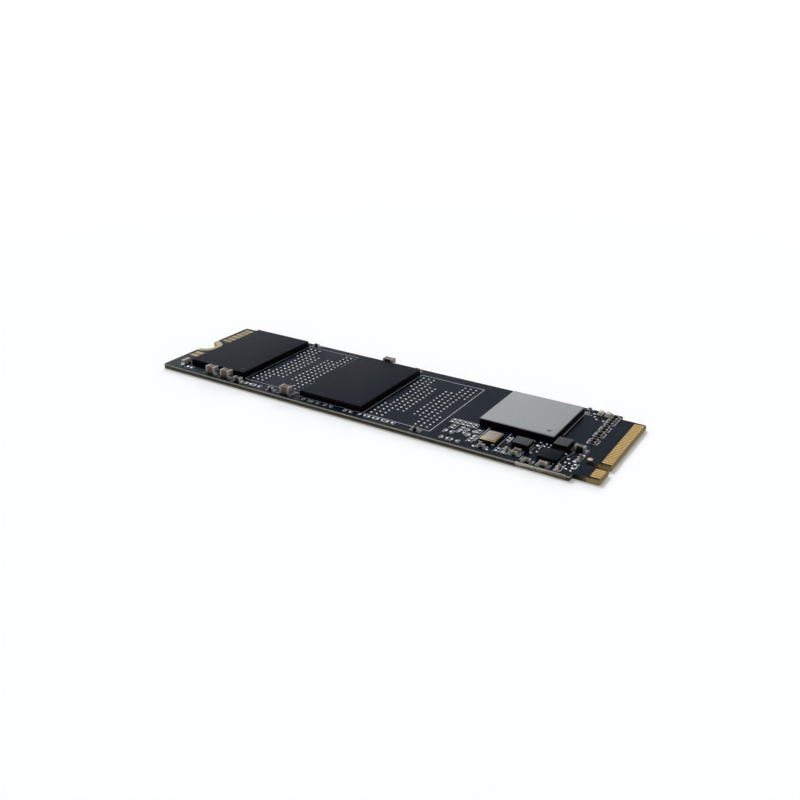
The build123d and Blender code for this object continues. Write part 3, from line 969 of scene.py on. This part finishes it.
def add_frame(mesh, low, high):
    """Adds a printed frame."""
    corners = ((low.x, low.y), (high.x, low.y), (high.x, high.y), (low.x, high.y))
    add_stroke(mesh, [held(*corner) for corner in corners], closed=True)


def add_brackets(mesh, low, high, reach, width=bracket_width):
    """Adds a printed bracket round each end of a box, across its longer way."""
    along_x = high.x - low.x >= high.y - low.y
    for end, inner in ((low, reach), (high, -reach)):
        if along_x:
            points = ((end.x + inner, low.y), (end.x, low.y), (end.x, high.y), (end.x + inner, high.y))
        else:
            points = ((low.x, end.y + inner), (low.x, end.y), (high.x, end.y), (high.x, end.y + inner))
        add_stroke(mesh, [held(*point) for point in points], width=width)


def print_packages(mesh):
    """Frames of the empty places, as large as a package, and the line before the second package."""
    package_low, package_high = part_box("memory_package_1")
    half = (package_high - package_low) / 2
    for number in (1, 2):
        low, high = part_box(f"empty_place_{number}_pads")
        middle = (low + high) / 2
        add_frame(mesh, middle - half, middle + half)
    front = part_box("memory_package_2")[0].y - silk_width
    add_stroke(mesh, [(strip_start, front), (strip_end, front)])


def print_chips(mesh):
    """Brackets round the chip capacitors."""
    nodes = ["small_capacitors_ceramic"]
    for kind in ("bulk", "filter"):
        nodes += [f"{kind}_capacitor_{k + 1}_ceramic" for k in range(capacitor_count)]
    clear = Vector((silk_clear, silk_clear, 0.0))
    for node in nodes:
        for low, high in boxes(node):
            along = Vector((1, 0, 0)) if high.x - low.x > high.y - low.y else Vector((0, 1, 0))
            grow = clear + along * end_clear
            add_brackets(mesh, low - grow, high + grow, chip_reach)


def print_lands(mesh):
    """Lines round the pairs of bare lands, and one along the row of pairs that lies furthest back."""
    clear = Vector((silk_clear, silk_clear, 0.0))
    pads = boxes("spare_lands")
    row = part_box("spare_lands")[1].y
    row_ends = []
    for one, other in zip(pads[::2], pads[1::2]):
        low, high = box_of(one + other)
        if high.y - low.y > high.x - low.x:
            for x in (low.x - silk_clear, high.x + silk_clear):
                add_stroke(mesh, [held(x, low.y - silk_clear), held(x, high.y + silk_clear)],
                           width=bracket_width)
        else:
            width = silk_width if high.x < strip_end else bracket_width
            add_brackets(mesh, low - clear, high + clear, land_reach, width)
        if high.y > row - weld_grid:
            row_ends += [low.x - silk_clear, high.x + silk_clear]
    behind = row + silk_clear
    add_stroke(mesh, [(min(row_ends), behind), (max(row_ends), behind)], width=bracket_width)


def print_coupling(mesh):
    """Frames round the coupling chips two by two, the last one round all that are left."""
    chips = sorted(boxes("coupling_capacitors_ceramic"), key=lambda box: box[0].y)
    for first in range(0, len(chips) - 2, 2):
        last = first + 2 if first < len(chips) - 4 else len(chips)
        low, high = box_of([corner for box in chips[first:last] for corner in box])
        add_frame(mesh, low - pair_clear, high + pair_clear)


def print_beside(mesh):
    """Lines beside the controller, the crystal, the first inductor and the shoulder."""
    package_low, package_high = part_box("controller_package")
    crystal_low, crystal_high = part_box("crystal_base")
    core_low, core_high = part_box("inductor_1_core")
    corner_x = package_high.x + corner_gap
    add_stroke(mesh, [(corner_x, package_low.y + corner_from), (corner_x, package_high.y),
                      (corner_x + corner_foot, package_high.y)])
    # Lines across the card: place along it, start and end
    across = (
        (crystal_low.x - 0.75 * MM, crystal_low.y, package_low.y - 0.2 * MM),
        (crystal_high.x + 0.35 * MM, near_edge + 1.0 * MM, package_low.y - 0.3 * MM),
        (core_low.x - 1.12 * MM, core_low.y + 1.0 * MM, core_high.y + 1.0 * MM),
        (core_low.x + 0.18 * MM, core_low.y - 2.3 * MM, core_low.y - 0.7 * MM),
        (core_high.x - 0.07 * MM, near_edge + 0.75 * MM, core_low.y - 1.4 * MM),
        (core_high.x + 0.22 * MM, core_low.y + 0.2 * MM, core_high.y - 0.3 * MM),
        (core_high.x - 0.57 * MM, core_high.y + 0.45 * MM, core_high.y + 1.6 * MM),
        (core_high.x + 0.93 * MM, core_high.y - 0.55 * MM, core_high.y + 1.1 * MM),
        (shoulder - 2.7 * MM, near_edge + 7.2 * MM, near_edge + 7.7 * MM),
        (shoulder - 0.8 * MM, near_edge + 2.7 * MM, near_edge + 3.2 * MM),
        (shoulder - 0.3 * MM, near_edge + 4.7 * MM, near_edge + 6.6 * MM),
        (shoulder - 0.14 * MM, near_edge + 2.3 * MM, near_edge + 3.8 * MM),
        (shoulder - 1.66 * MM, near_edge + 0.5 * MM, near_edge + 2.6 * MM),
    )
    for x, start, end in across:
        add_stroke(mesh, [(x, start), (x, end)])
    # A thin bent line by the shoulder: millimetres back from it and in from the near edge
    bent = ((2.6, 5.06), (2.42, 5.3), (2.2, 6.3), (2.07, 7.1))
    add_stroke(mesh, [(shoulder - back * MM, near_edge + inward * MM) for back, inward in bent],
               width=thin_width)


def print_silk():
    """The white lines printed round the parts and the empty places."""
    mesh = bmesh.new()
    print_packages(mesh)
    print_chips(mesh)
    print_lands(mesh)
    print_coupling(mesh)
    print_beside(mesh)
    piece(mesh, "silk_lines", (silk_ink,))


def add_floor():
    """A white floor that bends up into a low rim."""
    profile = [(0.0, floor_reach * share) for share in floor_shares]
    for k in range(bend_steps + 1):
        angle = k / bend_steps * math.pi / 2
        profile.append((floor_rim * (1 - math.cos(angle)), floor_flat + floor_bend * math.sin(angle)))
    turns = [2 * math.pi * k / floor_sides for k in range(floor_sides)]
    mesh = bmesh.new()
    rings = []
    for level, radius in profile:
        rings.append([mesh.verts.new((radius * math.cos(turn), radius * math.sin(turn), level - floor_drop))
                      for turn in turns])
    mesh.faces.new(rings[0])
    for inner, outer in zip(rings, rings[1:]):
        add_band(mesh, outer, inner)
    data = bpy.data.meshes.new("floor")
    mesh.to_mesh(data)
    mesh.free()
    data.shade_smooth()
    floor = bpy.data.objects.new("floor", data)
    bpy.context.scene.collection.objects.link(floor)
    data.materials.append(stage_white())


def add_lamp(name, direction, spread, strength):
    """A far, wide lamp that shines from the given direction."""
    lamp = bpy.data.lights.new(name, "SUN")
    lamp.angle = spread
    lamp.energy = strength
    light = bpy.data.objects.new(name, lamp)
    light.location = direction
    light.rotation_euler = direction.to_track_quat("Z", "Y").to_euler()
    bpy.context.scene.collection.objects.link(light)
    return light


def add_sky():
    """A sky that is paler overhead."""
    world = bpy.data.worlds.new("studio")
    bpy.context.scene.world = world
    world.use_nodes = True
    tree = world.node_tree
    split = tree.nodes.new("ShaderNodeSeparateXYZ")
    directions = tree.nodes.new("ShaderNodeTexCoord").outputs["Generated"]
    tree.links.new(directions, split.inputs["Vector"])
    sky = colour_ramp(tree, split.outputs["Z"], sky_stops)
    tree.links.new(sky, tree.nodes["Background"].inputs["Color"])


def add_camera():
    """The photograph's camera."""
    back = Vector((math.sin(view_azimuth) * math.cos(view_elevation),
                   -math.cos(view_azimuth) * math.cos(view_elevation),
                   math.sin(view_elevation)))
    data = bpy.data.cameras.new("camera")
    data.sensor_width = sensor_width
    data.lens = sensor_width * focal_pixels / image_size
    data.clip_start = view_near
    data.clip_end = view_far
    eye = bpy.data.objects.new("camera", data)
    eye.rotation_mode = "QUATERNION"
    eye.location = view_aim + back * view_distance
    look = back.to_track_quat("Z", "Y")
    look.rotate(Quaternion(back, view_roll))
    eye.rotation_quaternion = look
    bpy.context.scene.collection.objects.link(eye)
    bpy.context.scene.camera = eye


dress_board()
tab_break()
dress_packages()
dress_capacitors()
dress_small_parts()
dress_contacts()
dress_pads()
dress_toes()
dress_dot()
dress_screw_pad()
print_silk()

add_floor()
add_lamp("soft_light", sun_from, sun_spread, sun_strength)
# The low lamp behind the card leaves no glint of its own
low_lamp = add_lamp("back_light", back_from, back_spread, back_strength)
low_lamp.visible_glossy = False
add_sky()
add_camera()
bpy.context.scene.view_settings.view_transform = "Standard"
